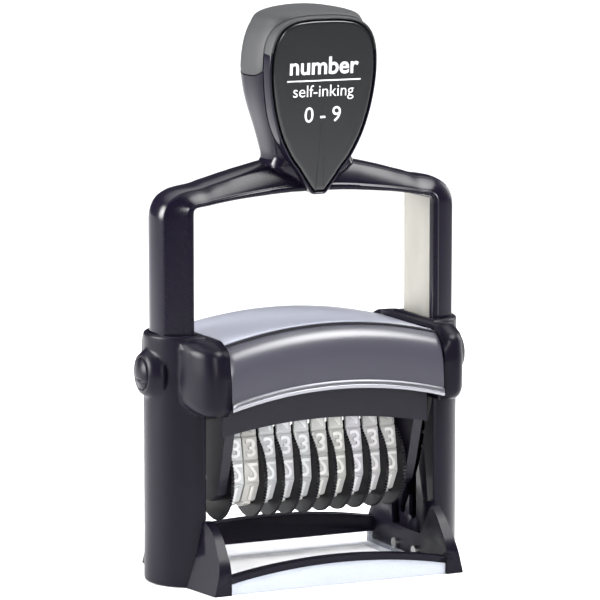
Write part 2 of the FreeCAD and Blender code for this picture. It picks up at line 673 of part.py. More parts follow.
SIDE_PLATE = [(-14.9, 52.0), (-14.9, 42.0), (-10.5, 28.0), (-8.6, 23.6), (-5.0, 21.4), (5.0, 21.4),
              (8.6, 23.6), (10.5, 28.0), (14.9, 42.0), (14.9, 52.0)]
PLATE_INNER, PLATE_OUTER = 26.2, 28.8
BACKING_BAR = [(-1.8, 55.9), (-3.0, 49.5), (3.0, 49.5), (1.8, 55.9)]
FACE_HALF_WIDTH, FACE_BOTTOM, FACE_BOTTOM_RISE, FACE_TOP, FACE_TOP_RISE = 29.8, 40.1, 3.1, 50.0, 2.0
FACE_Y, FACE_THICKNESS = 15.0, 1.6
PIN_PLAY = 0.1


def make_type_frame():
    body = new_body("carrier")
    for name, start in (("right", PLATE_INNER), ("left", -PLATE_OUTER)):
        pad(body, "side_" + name, "YZ_Plane", outline(SIDE_PLATE), "%g" % (PLATE_OUTER - PLATE_INNER),
            offset="%g" % start)
    face = arched_strip(FACE_HALF_WIDTH, FACE_BOTTOM, FACE_BOTTOM_RISE, FACE_TOP, FACE_TOP_RISE)
    pad(body, "front_face", "XZ_Plane", face, "%g" % FACE_THICKNESS, offset="%g" % FACE_Y,
        backwards=True)
    pad(body, "rear_face", "XZ_Plane", face, "%g" % FACE_THICKNESS, offset="%g" % -FACE_Y)
    holes = []
    for name, y, z, radius in (("axle", 0, size("axle_height"), "sizes.axle_radius"),
                               ("pivot", 0, size("pivot_height"), "sizes.pivot_pin_radius"),
                               ("cam", -size("cam_offset"), size("pivot_height"), "sizes.cam_pin_radius")):
        holes.append(cylinder(name + "_through", (-CROSS_BORE / 2, y, z), (1, 0, 0), radius,
                              "%g" % CROSS_BORE))
    sub_part(cut("type_carrier", body, holes), "type_frame")

    bar = new_body("backing_bar")
    pad(bar, "bar", "YZ_Plane", outline(BACKING_BAR), "%g" % (2 * PLATE_INNER), symmetric=True)
    sub_part(bar, "type_bridge")
    sub_part(cylinder("axle", (-PLATE_OUTER, 0, size("axle_height")), (1, 0, 0), "sizes.axle_radius",
                      "%g" % (2 * PLATE_OUTER)), "wheel_axle")

    pivot_end = size("steel_inner") + size("steel_thickness")
    cam_end = size("column_cavity_inner") - 2 * PIN_PLAY
    pin_start = PLATE_INNER + PIN_PLAY
    for label, y, radius, reach in (("pivot_pins", 0, "sizes.pivot_pin_radius", pivot_end),
                                    ("cam_pins", -size("cam_offset"), "sizes.cam_pin_radius", cam_end)):
        pair = [cylinder("%s_%d" % (label, i), (side * pin_start, y, size("pivot_height")),
                         (side, 0, 0), radius, "%g" % (reach - pin_start))
                for i, side in enumerate((-1, 1))]
        group = doc.addObject("Part::Compound", label + "_group")
        group.Links = pair
        sub_part(group, label)


# ---------------------------------------------------------------- bow

# Underside point, outward direction in degrees above the horizontal and wall height of each
# section from the leg round the corner to the middle of the arch.
BOW_SECTIONS = [(34.7, 97.7, 0, 8.4), (34.65, 98.9, 22, 7.2), (34.4, 99.5, 45, 6.2),
                (33.9, 99.75, 67, 6.0), (32.7, 100.0, 86, 6.0), (26.6, 100.9, 88, 6.2),
                (20.0, 101.6, 88, 7.2), (13.5, 102.2, 89, 8.2), (6.0, 102.55, 90, 8.9),
                (0.0, 102.6, 90, 9.1)]


ARCH_UNDERSIDE, BORE_PLAY, CROSS_BORE = 101.0, 0.05, 80


def bow_section(x, z, degrees, reach, half_depth):
    """D-section of the bow, standing square to its run."""
    out = Vector(math.cos(math.radians(degrees)), 0, math.sin(math.radians(degrees)))
    base = Vector(x, 0, z)
    low, high, tip = base - Vector(0, half_depth, 0), base + Vector(0, half_depth, 0), base + out * reach
    if half_depth >= reach:
        arc = Part.ArcOfEllipse(Part.Ellipse(high, tip, base), 0, math.pi)
    else:
        arc = Part.ArcOfEllipse(Part.Ellipse(tip, high, base), -math.pi / 2, math.pi / 2)
    ends = sorted((arc.StartPoint, arc.EndPoint), key=lambda point: point.y)
    return Part.Wire(Part.__sortEdges__([arc.toShape(), Part.makeLine(ends[0], ends[1])]))


def bow_half():
    depth = size("leg_half_depth")
    leg_top = BOW_SECTIONS[0][1]
    leg_wire = Part.Wire(Part.__sortEdges__([edge.toShape() for edge in half_ellipse(
        size("leg_inner"), size("leg_reach"), depth)]))
    leg = Part.Face(leg_wire).extrude(Vector(0, 0, leg_top - size("leg_bottom")))
    leg.translate(Vector(0, 0, size("leg_bottom")))
    x, z, degrees, _ = BOW_SECTIONS[0]
    stations = [(x, z, degrees, size("leg_reach"))] + BOW_SECTIONS[1:]
    arch = Part.makeLoft([bow_section(*station, depth) for station in stations], True, True)
    return leg.fuse(arch)


STEEL_BEVEL = [(35.6, 100.9), (32.6, 104.4)]
STEEL_BEVEL_INSIDE = [(32.2, 103.4), (34.6, 100.6)]
WEB_DEPTH, FLANK_TOP = 8.4, 99.0


def steel_profile():
    """U of the steel core, seen from the front; its top corners are bevelled."""
    inner, low = size("steel_inner"), size("leg_bottom")
    right = [(inner, low), (inner + size("steel_thickness"), low)] + STEEL_BEVEL
    right_inner = STEEL_BEVEL_INSIDE
    return (right + [(-x, z) for x, z in reversed(right)] + [(-x, z) for x, z in reversed(right_inner)]
            + right_inner)


def steel_u(name):
    """Steel strip bent to a U: a narrow web over the arch and wide flanks down the legs."""
    body = new_body(name)
    pad(body, "web", "XZ_Plane", outline(steel_profile()), "%g" % WEB_DEPTH, symmetric=True)
    inner, outer = size("steel_inner"), size("steel_inner") + size("steel_thickness")
    for side, label in ((-1, "left"), (1, "right")):
        flank = outline([(side * inner, size("leg_bottom")), (side * outer, size("leg_bottom")),
                         (side * outer, FLANK_TOP), (side * inner, FLANK_TOP)])
        pad(body, "flank_" + label, "XZ_Plane", flank, "sizes.steel_rear - sizes.steel_front",
            offset="-sizes.steel_rear")
    return body


def make_bow():
    core = steel_u("steel_u")
    pins = cylinder("pivot_bore", (-CROSS_BORE / 2, 0, size("pivot_height")), (1, 0, 0),
                    "sizes.pivot_pin_radius + %g" % BORE_PLAY, "%g" % CROSS_BORE)
    shank_hole = cylinder("core_screw_hole", (0, 0, ARCH_UNDERSIDE), (0, 0, 1),
                          "sizes.knob_screw_radius", "sizes.knob_screw_length")
    steel = cut("bow_steel", core, [pins, shank_hole])
    sub_part(steel, "bow_core")

    half = bow_half()
    other = half.mirror(Vector(0, 0, 0), Vector(1, 0, 0))
    solid_bow = formed("bow_solid", half.fuse(other))
    chambers = []
    for side, name in ((-1, "left"), (1, "right")):
        body = new_body("spring_chamber_" + name)
        pad(body, "bore", "XY_Plane",
            half_ellipse(size("steel_inner") + size("steel_thickness"), size("spring_cavity_reach"),
                         size("spring_cavity_half_depth")),
            "sizes.spring_cavity_top - sizes.leg_bottom + 1", offset="sizes.leg_bottom - 1")
        if side < 0:
            body.Placement = Placement(Vector(0, 0, 0), Rotation(Vector(0, 0, 1), 180))
        chambers.append(body)
    room = steel_u("steel_room")
    head_room = cylinder("screw_head_room", (0, 0, ARCH_UNDERSIDE), (0, 0, 1),
                         "sizes.knob_screw_head + %g" % PIN_PLAY, "sizes.knob_screw_sink")
    shank_room = cylinder("screw_shank_room", (0, 0, ARCH_UNDERSIDE), (0, 0, 1),
                          "sizes.knob_screw_radius", "sizes.knob_screw_length")
    cover = cut("bow_plastic", solid_bow, [room, head_room, shank_room] + chambers)
    sub_part(cover, "bow_cover")
    return solid_bow


# ---------------------------------------------------------------- handle

# Height, half width, depth to the front and depth to the rear of the knob's sections, which are
# squarish in front and oval behind.
KNOB_BODY = [(106.8, 8.0, 9.2, 4.6), (109.6, 12.0, 9.7, 6.0), (112.7, 11.7, 10.1, 7.2),
             (118.6, 13.2, 11.0, 9.4), (126.7, 15.6, 12.0, 12.0), (132.5, 16.6, 12.7, 13.0),
             (136.5, 16.7, 13.2, 13.2)]
KNOB_CAP = [(136.5, 16.7, 13.2, 13.2), (142.0, 15.9, 13.7, 12.8), (146.5, 14.2, 13.6, 11.5),
            (149.8, 11.4, 11.6, 8.5), (151.5, 7.6, 7.4, 4.4)]
FRONT_SQUARENESS, REAR_SQUARENESS, KNOB_STEPS = 4.5, 2.0, 40
BEZEL_WIDTH, BEZEL_DEPTH, RECESS_DEPTH = 1.2, 5.0, 3.0
LENS_SINK, LENS_THICKNESS, CARD_THICKNESS, CARD_INSET = 0.2, 1.0, 0.3, 0.6
LENS_TIP_Y, LENS_TIP_Z, LENS_LEAN = -11.0, 103.0, 4.83
LENS_OUTLINE = [(1.4, 0.0), (5.8, 6.2), (8.3, 9.5), (11.1, 15.0), (13.0, 21.0), (14.1, 27.0), (14.5, 32.6),
                (14.0, 38.2), (12.2, 42.2), (8.9, 44.3), (4.5, 45.0), (0.0, 45.1)]


def knob_loft(sections):
    wires = []
    for z, half_width, front, rear in sections:
        points = []
        for step in range(KNOB_STEPS):
            angle = 2 * math.pi * step / KNOB_STEPS
            across, along = math.cos(angle), math.sin(angle)
            squareness, depth = (REAR_SQUARENESS, rear) if along > 0 else (FRONT_SQUARENESS, front)
            points.append(Vector(math.copysign(abs(across) ** (2 / squareness), across) * half_width,
                                 math.copysign(abs(along) ** (2 / squareness), along) * depth, z))
        curve = Part.BSplineCurve()
        curve.interpolate(points, PeriodicFlag=True)
        wires.append(Part.Wire(curve.toShape()))
    return Part.makeLoft(wires, True, True)


def drop_outline(grow):
    """Pick-shaped outline of the lens: rounded top, straight taper, narrow flat tip."""
    right = []
    count = len(LENS_OUTLINE)
    for i, (u, v) in enumerate(LENS_OUTLINE):
        before, after = LENS_OUTLINE[max(i - 1, 0)], LENS_OUTLINE[min(i + 1, count - 1)]
        run_u, run_v = after[0] - before[0], after[1] - before[1]
        if i == count - 1:
            run_u, run_v = -1.0, 0.0
        length = math.hypot(run_u, run_v)
        right.append((u + grow * run_v / length, v - grow * run_u / length))
    points = [Vector(u, v, 0) for u, v in right]
    points += [Vector(-u, v, 0) for u, v in reversed(right[:-1])]
    curve = Part.BSplineCurve()
    curve.interpolate(points)
    return [curve, Part.LineSegment(points[-1], points[0])]


def lens_layer(name, grow, thickness, depth):
    """Drop-shaped layer whose outer face lies at the given depth under the bezel's face."""
    body = new_body(name)
    pad(body, "layer", "XZ_Plane", drop_outline(grow), "%g" % thickness, offset="%g" % -depth,
        backwards=True)
    body.Placement = Placement(Vector(0, LENS_TIP_Y, LENS_TIP_Z), Rotation(Vector(1, 0, 0), LENS_LEAN))
    return body


def make_handle(solid_bow):
    lower = formed("knob_body_form", knob_loft(KNOB_BODY))
    upper = formed("knob_cap_form", knob_loft(KNOB_CAP))
    recess_floor = LENS_SINK + LENS_THICKNESS + CARD_THICKNESS
    bezel = lens_layer("bezel_layer", BEZEL_WIDTH, BEZEL_DEPTH, 0)
    recess = lens_layer("recess_layer", 0, RECESS_DEPTH + recess_floor, -RECESS_DEPTH)
    sub_part(lens_layer("lens_layer", 0, LENS_THICKNESS, LENS_SINK), "lens")
    sub_part(lens_layer("card_layer", -CARD_INSET, CARD_THICKNESS, LENS_SINK + LENS_THICKNESS),
             "index_card")
    screw_room = cylinder("knob_screw_room", (0, 0, ARCH_UNDERSIDE), (0, 0, 1),
                          "sizes.knob_screw_radius", "sizes.knob_screw_length")
    whole = fuse("knob_whole", [lower, bezel])
    sub_part(cut("knob_body", whole, [solid_bow, recess, screw_room]), "handle_body")
    sub_part(cut("knob_cap", upper, [bezel, recess]), "handle_cap")

    seat = (0, 0, size("knob_screw_seat"))
    head = cylinder("screw_low_head", seat, (0, 0, 1), "sizes.knob_screw_head",
                    "sizes.knob_screw_head_height")
    shank = cylinder("screw_long_shank", seat, (0, 0, 1), "sizes.knob_screw_radius",
                     "sizes.knob_screw_length - sizes.knob_screw_sink")
    sub_part(fuse("knob_screw", [head, shank]), "handle_screw")


# ---------------------------------------------------------------- build, check and write

make_housings()
make_pad_housing()
make_cartridge()
make_base()
make_springs()
make_buttons()
make_type_frame()
make_bands()
make_wheels()
bow_form = make_bow()
make_handle(bow_form)
doc.recompute()

for item in doc.Objects:
    if "Invalid" in item.State or "Error" in item.State:
        raise RuntimeError(item.Name + " failed: " + str(item.State))
for item in SUB_PARTS:
    if item.Shape.isNull() or not item.Shape.isValid():
        raise RuntimeError(item.Label + " has no valid shape")

os.makedirs("parts", exist_ok=True)
for item in SUB_PARTS:
    item.Shape.exportStep("parts/" + item.Label + ".step")
    print("%-18s %6.0f mm3  %d solids" % (item.Label, item.Shape.Volume, len(item.Shape.Solids)))
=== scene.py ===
import math

import bmesh
import bpy
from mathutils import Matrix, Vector


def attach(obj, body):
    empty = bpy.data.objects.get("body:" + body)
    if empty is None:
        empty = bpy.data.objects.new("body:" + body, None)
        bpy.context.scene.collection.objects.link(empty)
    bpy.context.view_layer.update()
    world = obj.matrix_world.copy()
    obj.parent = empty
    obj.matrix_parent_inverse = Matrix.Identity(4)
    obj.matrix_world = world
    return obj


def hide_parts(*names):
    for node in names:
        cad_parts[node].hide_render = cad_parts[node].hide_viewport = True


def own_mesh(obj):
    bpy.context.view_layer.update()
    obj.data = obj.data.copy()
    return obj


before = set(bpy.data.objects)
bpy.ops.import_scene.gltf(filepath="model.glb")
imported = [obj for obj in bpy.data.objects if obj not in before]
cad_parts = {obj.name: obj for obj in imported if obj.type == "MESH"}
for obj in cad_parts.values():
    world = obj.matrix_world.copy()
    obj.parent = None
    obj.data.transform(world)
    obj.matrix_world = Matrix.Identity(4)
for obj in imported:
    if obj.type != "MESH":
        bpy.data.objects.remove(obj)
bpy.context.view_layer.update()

MM = 0.001
scene = bpy.context.scene

# ------------------------------------------------------------------ camera, light and floor

VIEW_AZIMUTH, VIEW_ELEVATION = math.radians(-25.2), math.radians(8.35)
VIEW_TARGET, VIEW_DISTANCE = Vector((-0.5, 0, 72.6)) * MM, 1064 * MM


def make_camera():
    data = bpy.data.cameras.new("camera")
    data.lens, data.sensor_width = 240, 36
    data.clip_start, data.clip_end = 0.01, 20
    camera = bpy.data.objects.new("camera", data)
    away = Vector((math.sin(VIEW_AZIMUTH) * math.cos(VIEW_ELEVATION),
                   -math.cos(VIEW_AZIMUTH) * math.cos(VIEW_ELEVATION), math.sin(VIEW_ELEVATION)))
    camera.location = VIEW_TARGET + away * VIEW_DISTANCE
    camera.rotation_euler = (-away).to_track_quat("-Z", "Y").to_euler()
    scene.collection.objects.link(camera)
    scene.camera = camera


def area_light(name, place, aim, width, height, power, spread=180):
    data = bpy.data.lights.new(name, "AREA")
    data.shape, data.size, data.size_y = "RECTANGLE", width, height
    data.energy, data.spread = power, math.radians(spread)
    light = bpy.data.objects.new(name, data)
    light.location = place
    light.rotation_euler = (Vector(aim) - Vector(place)).to_track_quat("-Z", "Y").to_euler()
    scene.collection.objects.link(light)


def make_lights():
    world = bpy.data.worlds.new("studio")
    world.use_nodes = True
    scene.world = world
    world.node_tree.nodes["Background"].inputs["Color"].default_value = (0.9, 0.92, 1.0, 1)
    world.node_tree.nodes["Background"].inputs["Strength"].default_value = 0.07
    scene.view_settings.view_transform = "Standard"
    area_light("overhead", (0, 0.12, 0.9), (0, 0.12, 0), 1.3, 0.95, 4.4)
    area_light("front_softbox", (0.36, -0.32, 0.80), (0, 0, 0.09), 0.85, 0.42, 3.0, spread=55)
    area_light("front_fill", (-0.25, -0.95, 0.34), (0, 0, 0.02), 0.5, 0.3, 0.36, spread=26)
    area_light("left_panel", (-0.9, 0.35, 0.34), (0, 0, 0.10), 0.6, 0.5, 3.4, spread=50)
    area_light("right_panel", (0.9, 0.2, 0.35), (0, 0, 0.08), 0.4, 0.6, 0.5, spread=50)
    area_light("far_rear", (0, 2.3, 1.6), (0, 2.3, 0), 4.4, 3.8, 90, spread=120)
    area_light("far_front", (0, -2.9, 1.6), (0, -2.9, 0), 4.0, 2.6, 30, spread=70)


def make_floor():
    mesh = bpy.data.meshes.new("floor")
    form = bmesh.new()
    bmesh.ops.create_grid(form, x_segments=8, y_segments=8, size=6.0)
    form.to_mesh(mesh)
    form.free()
    floor = bpy.data.objects.new("floor", mesh)
    floor.location = (0, 0, -0.0001)
    scene.collection.objects.link(floor)
    mesh.materials.append(PAPER)


make_camera()
make_lights()

# ------------------------------------------------------------------ materials


NOISE_DETAIL, COAT_ROUGHNESS, BUMP_HEIGHT = 3.0, 0.05, 0.05 * MM
# Noise values between which the roughness runs, and the smoothest finish.
NOISE_LOW, NOISE_HIGH, SMOOTHEST = 0.3, 0.7, 0.02


def surface(name, colour, second, roughness, spread=0.06, metallic=0.0, scale=900.0, bump=0.0, coat=0.0,
            specular=0.5, stretch=(1, 1, 1)):
    """Procedural finish: fine noise moves the colour and the roughness, and may raise a bump."""
    material = bpy.data.materials.new(name)
    material.use_nodes = True
    tree = material.node_tree
    shader = tree.nodes["Principled BSDF"]
    shader.inputs["Metallic"].default_value = metallic
    shader.inputs["Coat Weight"].default_value = coat
    shader.inputs["Coat Roughness"].default_value = COAT_ROUGHNESS
    shader.inputs["Specular IOR Level"].default_value = specular
    coordinates = tree.nodes.new("ShaderNodeTexCoord")
    mapping = tree.nodes.new("ShaderNodeMapping")
    mapping.inputs["Scale"].default_value = stretch
    noise = tree.nodes.new("ShaderNodeTexNoise")
    noise.inputs["Scale"].default_value = scale
    noise.inputs["Detail"].default_value = NOISE_DETAIL
    tree.links.new(coordinates.outputs["Object"], mapping.inputs["Vector"])
    tree.links.new(mapping.outputs["Vector"], noise.inputs["Vector"])
    mix = tree.nodes.new("ShaderNodeMix")
    mix.data_type = "RGBA"
    mix.inputs["A"].default_value = (*colour, 1)
    mix.inputs["B"].default_value = (*second, 1)
    tree.links.new(noise.outputs["Fac"], mix.inputs["Factor"])
    tree.links.new(mix.outputs["Result"], shader.inputs["Base Color"])
    gloss = tree.nodes.new("ShaderNodeMapRange")
    gloss.inputs["From Min"].default_value = NOISE_LOW
    gloss.inputs["From Max"].default_value = NOISE_HIGH
    gloss.inputs["To Min"].default_value = max(roughness - spread, SMOOTHEST)
    gloss.inputs["To Max"].default_value = roughness + spread
    tree.links.new(noise.outputs["Fac"], gloss.inputs["Value"])
    tree.links.new(gloss.outputs["Result"], shader.inputs["Roughness"])
    if bump:
        raised = tree.nodes.new("ShaderNodeBump")
        raised.inputs["Strength"].default_value = bump
        raised.inputs["Distance"].default_value = BUMP_HEIGHT
        tree.links.new(noise.outputs["Fac"], raised.inputs["Height"])
        tree.links.new(raised.outputs["Normal"], shader.inputs["Normal"])
    return material


BLACK = surface("gloss_black", (0.0036, 0.0026, 0.0075), (0.005, 0.0038, 0.0095), 0.2, 0.02, scale=2500,
                specular=0.19)
SATIN = surface("satin_black", (0.0032, 0.0025, 0.0062), (0.0046, 0.0038, 0.008), 0.34, 0.04, scale=7000,
                bump=0.12, specular=0.11)
CAP = surface("soft_cap", (0.013, 0.0135, 0.015), (0.018, 0.0185, 0.02), 0.62, 0.04, scale=5000, bump=0.1,
              specular=0.4)
SILVER = surface("silver_lacquer", (0.25, 0.26, 0.31), (0.27, 0.28, 0.33), 0.3, 0.015, scale=6000,
                 coat=0.1)
SMOKE = surface("smoke_window", (0.036, 0.035, 0.047), (0.041, 0.04, 0.053), 0.3, 0.02, scale=6000)
CHROME = surface("chrome_trim", (0.24, 0.24, 0.265), (0.28, 0.28, 0.305), 0.34, 0.02, metallic=1.0,
                 scale=6000)
TRAY = surface("tray_plastic", (0.008, 0.0078, 0.0105), (0.012, 0.0117, 0.015), 0.4, 0.05, scale=5000,
               specular=0.2)
FELT = surface("ink_felt", (0.012, 0.012, 0.025), (0.03, 0.03, 0.05), 0.9, 0.05, scale=3500, bump=0.8)
CLEAR = surface("clear_base", (0.33, 0.355, 0.41), (0.37, 0.395, 0.45), 0.08, 0.02, scale=1500)
STEEL = surface("bright_steel", (0.30, 0.30, 0.30), (0.36, 0.36, 0.35), 0.3, 0.04, metallic=1.0,
                scale=3000)
WIRE = surface("spring_wire", (0.42, 0.42, 0.43), (0.52, 0.52, 0.52), 0.3, 0.05, metallic=1.0, scale=3000)
FRAME_GREY = surface("frame_grey", (0.006, 0.0052, 0.0105), (0.008, 0.0068, 0.0128), 0.4, 0.02,
                     scale=8000, specular=0.26)
CORE = surface("core_steel", (0.27, 0.262, 0.235), (0.31, 0.30, 0.272), 0.42, 0.03, metallic=1.0,
               scale=300, stretch=(1, 1, 0.25))
LENS = surface("clear_lens", (0.0095, 0.01, 0.0112), (0.012, 0.0125, 0.014), 0.2, 0.02, scale=4000)
CARD = surface("card_grey", (0.04, 0.04, 0.045), (0.055, 0.055, 0.06), 0.6, 0.05)
WHEEL = surface("wheel_black", (0.004, 0.0038, 0.0055), (0.007, 0.0066, 0.009), 0.42, 0.05, scale=5000,
                specular=0.14)
PRINT = surface("pale_print", (0.62, 0.62, 0.65), (0.70, 0.70, 0.72), 0.4, 0.04, scale=3000)


# Depth in metres where the clear base's front bar ends, and how solid it is behind that.
BAR_BACK, CLEAR_SHARE = -0.0212, 0.3


def see_through(material, solid_front, share):
    """Lets the paper show through behind a given depth, in metres; the front bar stays milky."""
    tree = material.node_tree
    coordinates = tree.nodes.new("ShaderNodeTexCoord")
    split = tree.nodes.new("ShaderNodeSeparateXYZ")
    step = tree.nodes.new("ShaderNodeMapRange")
    step.inputs["From Min"].default_value = solid_front
    step.inputs["From Max"].default_value = solid_front + MM
    step.inputs["To Min"].default_value = 1.0
    step.inputs["To Max"].default_value = share
    tree.links.new(coordinates.outputs["Object"], split.inputs["Vector"])
    tree.links.new(split.outputs["Y"], step.inputs["Value"])
    tree.links.new(step.outputs["Result"], tree.nodes["Principled BSDF"].inputs["Alpha"])


see_through(CLEAR, BAR_BACK, CLEAR_SHARE)


# Lift of the rubber's second noise colour, and the factor for a darker copy of the same rubber that paints
# shade on the belt and cells round the raised signs.
RUBBER_MOTTLE, RECESS_PAINTED_SHADE = 1.06, 0.66


def rubber(name, tint):
    second = [min(1, c * RUBBER_MOTTLE) for c in tint]
    return surface(name, tint, second, 0.55, 0.05, scale=2500, bump=0.15)


BAND_TINTS = [(0.61, 0.62, 0.62), (0.57, 0.56, 0.53), (0.61, 0.62, 0.63), (0.61, 0.61, 0.63),
              (0.61, 0.62, 0.62), (0.59, 0.59, 0.57), (0.59, 0.59, 0.56), (0.61, 0.60, 0.63),
              (0.59, 0.58, 0.58), (0.56, 0.56, 0.54)]
RUBBER = [rubber("band_rubber_%02d" % (i + 1), tint) for i, tint in enumerate(BAND_TINTS)]
# Darker copies of each band's rubber: painted shade for everything but the raised signs.
PAINTED_SHADE_RUBBER = [rubber("band_recess_%02d" % (i + 1), [c * RECESS_PAINTED_SHADE for c in tint])
          for i, tint in enumerate(BAND_TINTS)]

PAPER = surface("floor_paper", (0.885, 0.885, 0.895), (0.91, 0.91, 0.92), 0.9, 0.03, scale=60,
                specular=0.3)
make_floor()

NODE_FINISH = {
    "housing_left": SATIN, "housing_right": SATIN, "base_frame": SATIN, "bow_cover": BLACK,
    "handle_body": BLACK, "button_left": SATIN, "button_right": SATIN, "handle_cap": CAP,
    "top_cover": SILVER, "front_window": SMOKE, "front_bead": CHROME, "bridge_frame": TRAY,
    "pad_tray": TRAY, "ink_pad": FELT, "base_window": CLEAR, "housing_screws": STEEL,
    "spring_post_left": STEEL, "spring_post_right": STEEL, "spring_left": WIRE, "spring_right": WIRE,
    "type_frame": FRAME_GREY, "type_bridge": FRAME_GREY, "wheel_axle": STEEL, "pivot_pins": STEEL,
    "cam_pins": STEEL, "bow_core": CORE, "lens": LENS, "index_card": CARD, "handle_screw": STEEL,
}
for index, finish in enumerate(RUBBER):
    NODE_FINISH["band_%02d" % (index + 1)] = finish
    NODE_FINISH["wheel_%02d" % (index + 1)] = WHEEL
for name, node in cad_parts.items():
    node.data.materials.clear()
    node.data.materials.append(NODE_FINISH[name])

# ------------------------------------------------------------------ mesh helpers


WELD_DISTANCE = 0.002 * MM


def tidy_normals(mesh):
    """Merges coincident points and turns the faces outwards."""
    form = bmesh.new()
    form.from_mesh(mesh)
    bmesh.ops.remove_doubles(form, verts=form.verts, dist=WELD_DISTANCE)
    bmesh.ops.recalc_face_normals(form, faces=form.faces)
    form.to_mesh(mesh)
    form.free()
    return mesh


def finished(name, mesh, finishes, body, replaced=(), sharp=38):
    """Turns a mesh into a piece: faces outwards, smooth but for sharp edges, on its body."""
    tidy_normals(mesh)
    for finish in finishes if isinstance(finishes, (list, tuple)) else [finishes]:
        mesh.materials.append(finish)
    mesh.shade_smooth()
    mesh.set_sharp_from_angle(angle=math.radians(sharp))
    piece = bpy.data.objects.new(name, mesh)
    scene.collection.objects.link(piece)
    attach(piece, body)
    if replaced:
        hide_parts(*replaced)
    return piece


def grid_mesh(name, rings, ring_closed=True, row_closed=False, ends=True):
    """Mesh through rows of points in millimetres; each row has the same number of points."""
    count = len(rings[0])
    points = [Vector(p) * MM for ring in rings for p in ring]
    faces = []
    for row in range(len(rings) if row_closed else len(rings) - 1):
        low, high = row * count, ((row + 1) % len(rings)) * count
        for i in range(count if ring_closed else count - 1):
            j = (i + 1) % count
            faces.append((low + i, low + j, high + j, high + i))
    if ends and not row_closed:
        faces.append(tuple(range(count))[::-1])
        faces.append(tuple(range(count * (len(rings) - 1), count * len(rings))))
    mesh = bpy.data.meshes.new(name)
    mesh.from_pydata(points, [], faces)
    return mesh


def value_at(knots, where):
    """Smooth curve through (position, value, ...) knots; gives the values at a position."""
    i = 0
    while i < len(knots) - 2 and knots[i + 1][0] < where:
        i += 1
    (x0, *v0), (x1, *v1) = knots[i], knots[i + 1]
    before, after = knots[max(i - 1, 0)], knots[min(i + 2, len(knots) - 1)]
    t = (where - x0) / (x1 - x0)
    result = []
    for k in range(len(v0)):
        m0 = (v1[k] - before[k + 1]) / (x1 - before[0]) * (x1 - x0)
        m1 = (after[k + 1] - v0[k]) / (after[0] - x0) * (x1 - x0)
        result.append((2 * t ** 3 - 3 * t ** 2 + 1) * v0[k] + (t ** 3 - 2 * t ** 2 + t) * m0
                      + (3 * t ** 2 - 2 * t ** 3) * v1[k] + (t ** 3 - t ** 2) * m1)
    return result


def through(points, per_span, closed=False):
    """Smooth line through points, with the given number of steps between neighbours."""
    count = len(points)
    line = []
    for i in range(count if closed else count - 1):
        if closed:
            a, b, c, d = (Vector(points[(i + k) % count]) for k in (-1, 0, 1, 2))
        else:
            a, b = Vector(points[max(i - 1, 0)]), Vector(points[i])
            c, d = Vector(points[i + 1]), Vector(points[min(i + 2, count - 1)])
        for step in range(per_span):
            t = step / per_span
            line.append(0.5 * (2 * b + (c - a) * t + (2 * a - 5 * b + 4 * c - d) * t ** 2
                               + (3 * b - a - 3 * c + d) * t ** 3))
    if not closed:
        line.append(Vector(points[-1]))
    return line


def carved(mesh, cutters, name):
    """Exact boolean difference of meshes."""
    base = bpy.data.objects.new(name, mesh)
    scene.collection.objects.link(base)
    tools = []
    for cutter in cutters:
        tool = bpy.data.objects.new("cutter", cutter)
        scene.collection.objects.link(tool)
        modifier = base.modifiers.new("cut", "BOOLEAN")
        modifier.operation, modifier.object, modifier.solver = "DIFFERENCE", tool, "EXACT"
        tools.append(tool)
    bpy.context.view_layer.update()
    result = bpy.data.meshes.new_from_object(base.evaluated_get(bpy.context.evaluated_depsgraph_get()))
    for item in tools + [base]:
        bpy.data.objects.remove(item)
    return result


# ------------------------------------------------------------------ knob

# Half width, depth to the front and depth to the rear: by height in the lower part, and by the square
# root of the drop from the top in the upper part.
KNOB_TOP, KNOB_PART = 151.5, 136.5
KNOB_LOWER = [(102.8, 1.8, 9.4, 2.0), (104.6, 4.6, 9.7, 3.6), (106.6, 8.0, 9.8, 4.6),
              (108.6, 11.6, 9.8, 5.4), (109.8, 12.7, 9.9, 6.0), (110.7, 11.9, 9.9, 6.3),
              (112.0, 11.6, 10.0, 7.0), (114.0, 12.0, 10.3, 7.8), (118.6, 13.2, 11.0, 9.4),
              (126.7, 15.6, 12.0, 12.0),
              (132.5, 16.6, 12.7, 13.0), (136.5, 16.7, 13.2, 13.2), (142.0, 15.9, 13.7, 12.8)]
KNOB_UPPER = [(0.0, 0.0, 0.0, 0.0), (1.304, 11.4, 11.6, 8.5), (2.236, 14.2, 13.7, 11.5),
              (3.082, 15.9, 13.75, 12.8), (3.873, 16.7, 13.2, 13.2), (4.359, 16.7, 12.9, 13.1)]
FRONT_SQUARENESS, REAR_SQUARENESS = 4.5, 2.0
PART_SIDE, PART_FRONT = 133.5, 139.6
KNOB_STEPS = 160
# Foot of the knob, the gap under the cap, and the room cut behind the plate as (growth, depth).
KNOB_BASE, PART_GAP = 102.8, 0.3
PLATE_ROOM = [(1.2, 5.1), (1.2, -6.0)]


def knob_ring(height_at):
    """Ring round the knob, at the height that height_at gives for each angle."""
    ring = []
    for step in range(KNOB_STEPS):
        angle = 2 * math.pi * step / KNOB_STEPS
        z = height_at(angle)
        if z > KNOB_PART:
            half_width, front, rear = value_at(KNOB_UPPER, math.sqrt(max(KNOB_TOP - z, 0)))
        else:
            half_width, front, rear = value_at(KNOB_LOWER, z)
        across, along = math.cos(angle), math.sin(angle)
        squareness, depth = (REAR_SQUARENESS, rear) if along > 0 else (FRONT_SQUARENESS, front)
        ring.append((math.copysign(abs(across) ** (2 / squareness), across) * half_width,
                     math.copysign(abs(along) ** (2 / squareness), along) * depth, z))
    return ring


def shrunk(ring, inset, lift):
    """Ring drawn in towards the knob's axis, for a turned-in edge."""
    result = []
    for x, y, z in ring:
        length = math.hypot(x, y)
        result.append((x * (1 - inset / length), y * (1 - inset / length), z + lift))
    return result


